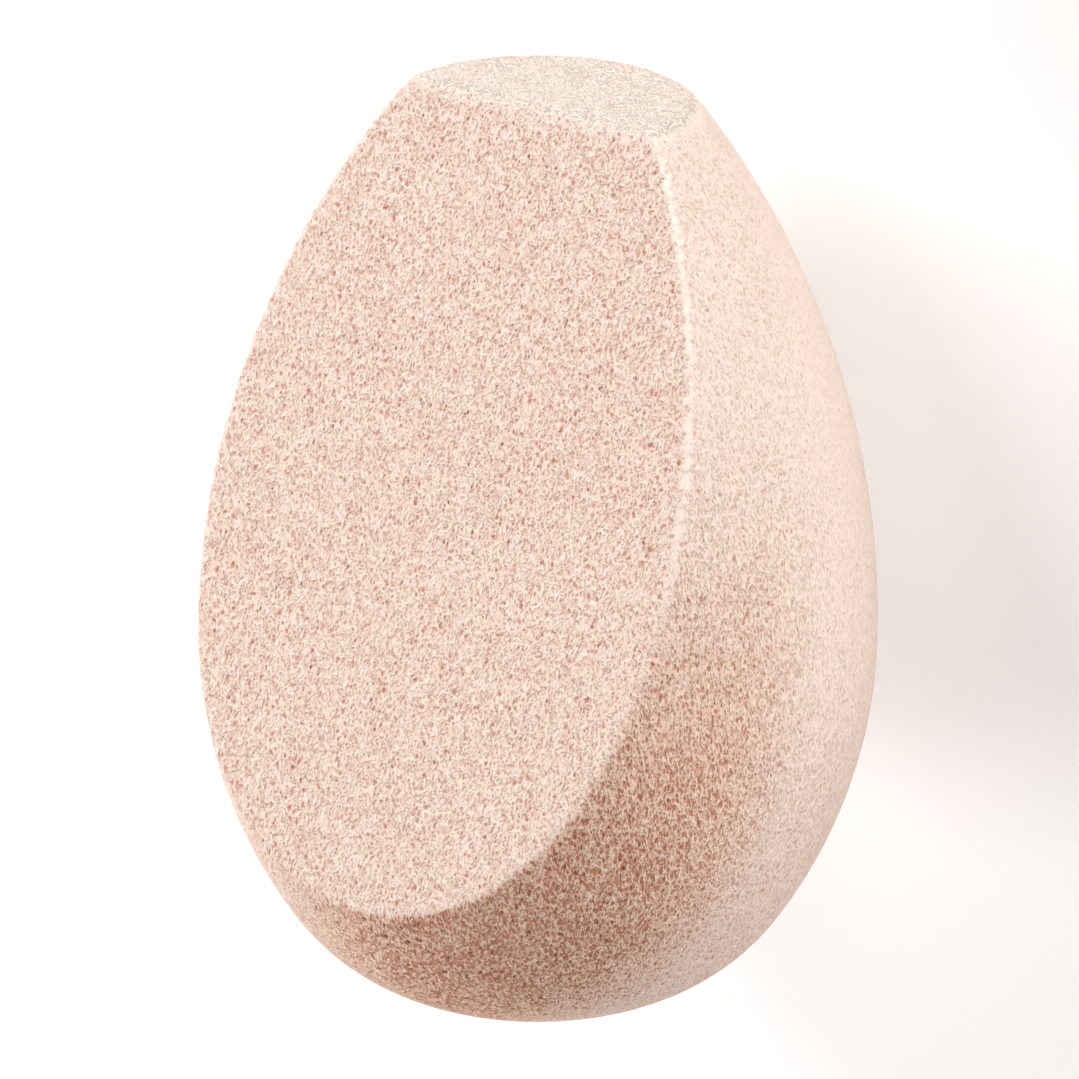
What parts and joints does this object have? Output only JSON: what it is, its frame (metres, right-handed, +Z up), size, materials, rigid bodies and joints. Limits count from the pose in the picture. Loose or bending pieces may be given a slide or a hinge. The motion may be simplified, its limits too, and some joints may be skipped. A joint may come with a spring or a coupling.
{
  "type": "makeup sponge",
  "caption": "Egg-shaped foam makeup sponge with a round bottom, a large slanted oval face and a small flat tip, for blending make-up.",
  "frame": {"origin": "on the surface that the sponge lies on, under the middle of its outline", "axes": "+Y along the sponge towards its flat tip, +X across it, +Z up, with the oval face up"},
  "size_m": [0.043, 0.06, 0.0405],
  "materials": {
    "foam": "matte"
  },
  "bodies": {
    "root": {"foam_body": "foam"}
  },
  "joints": []
}
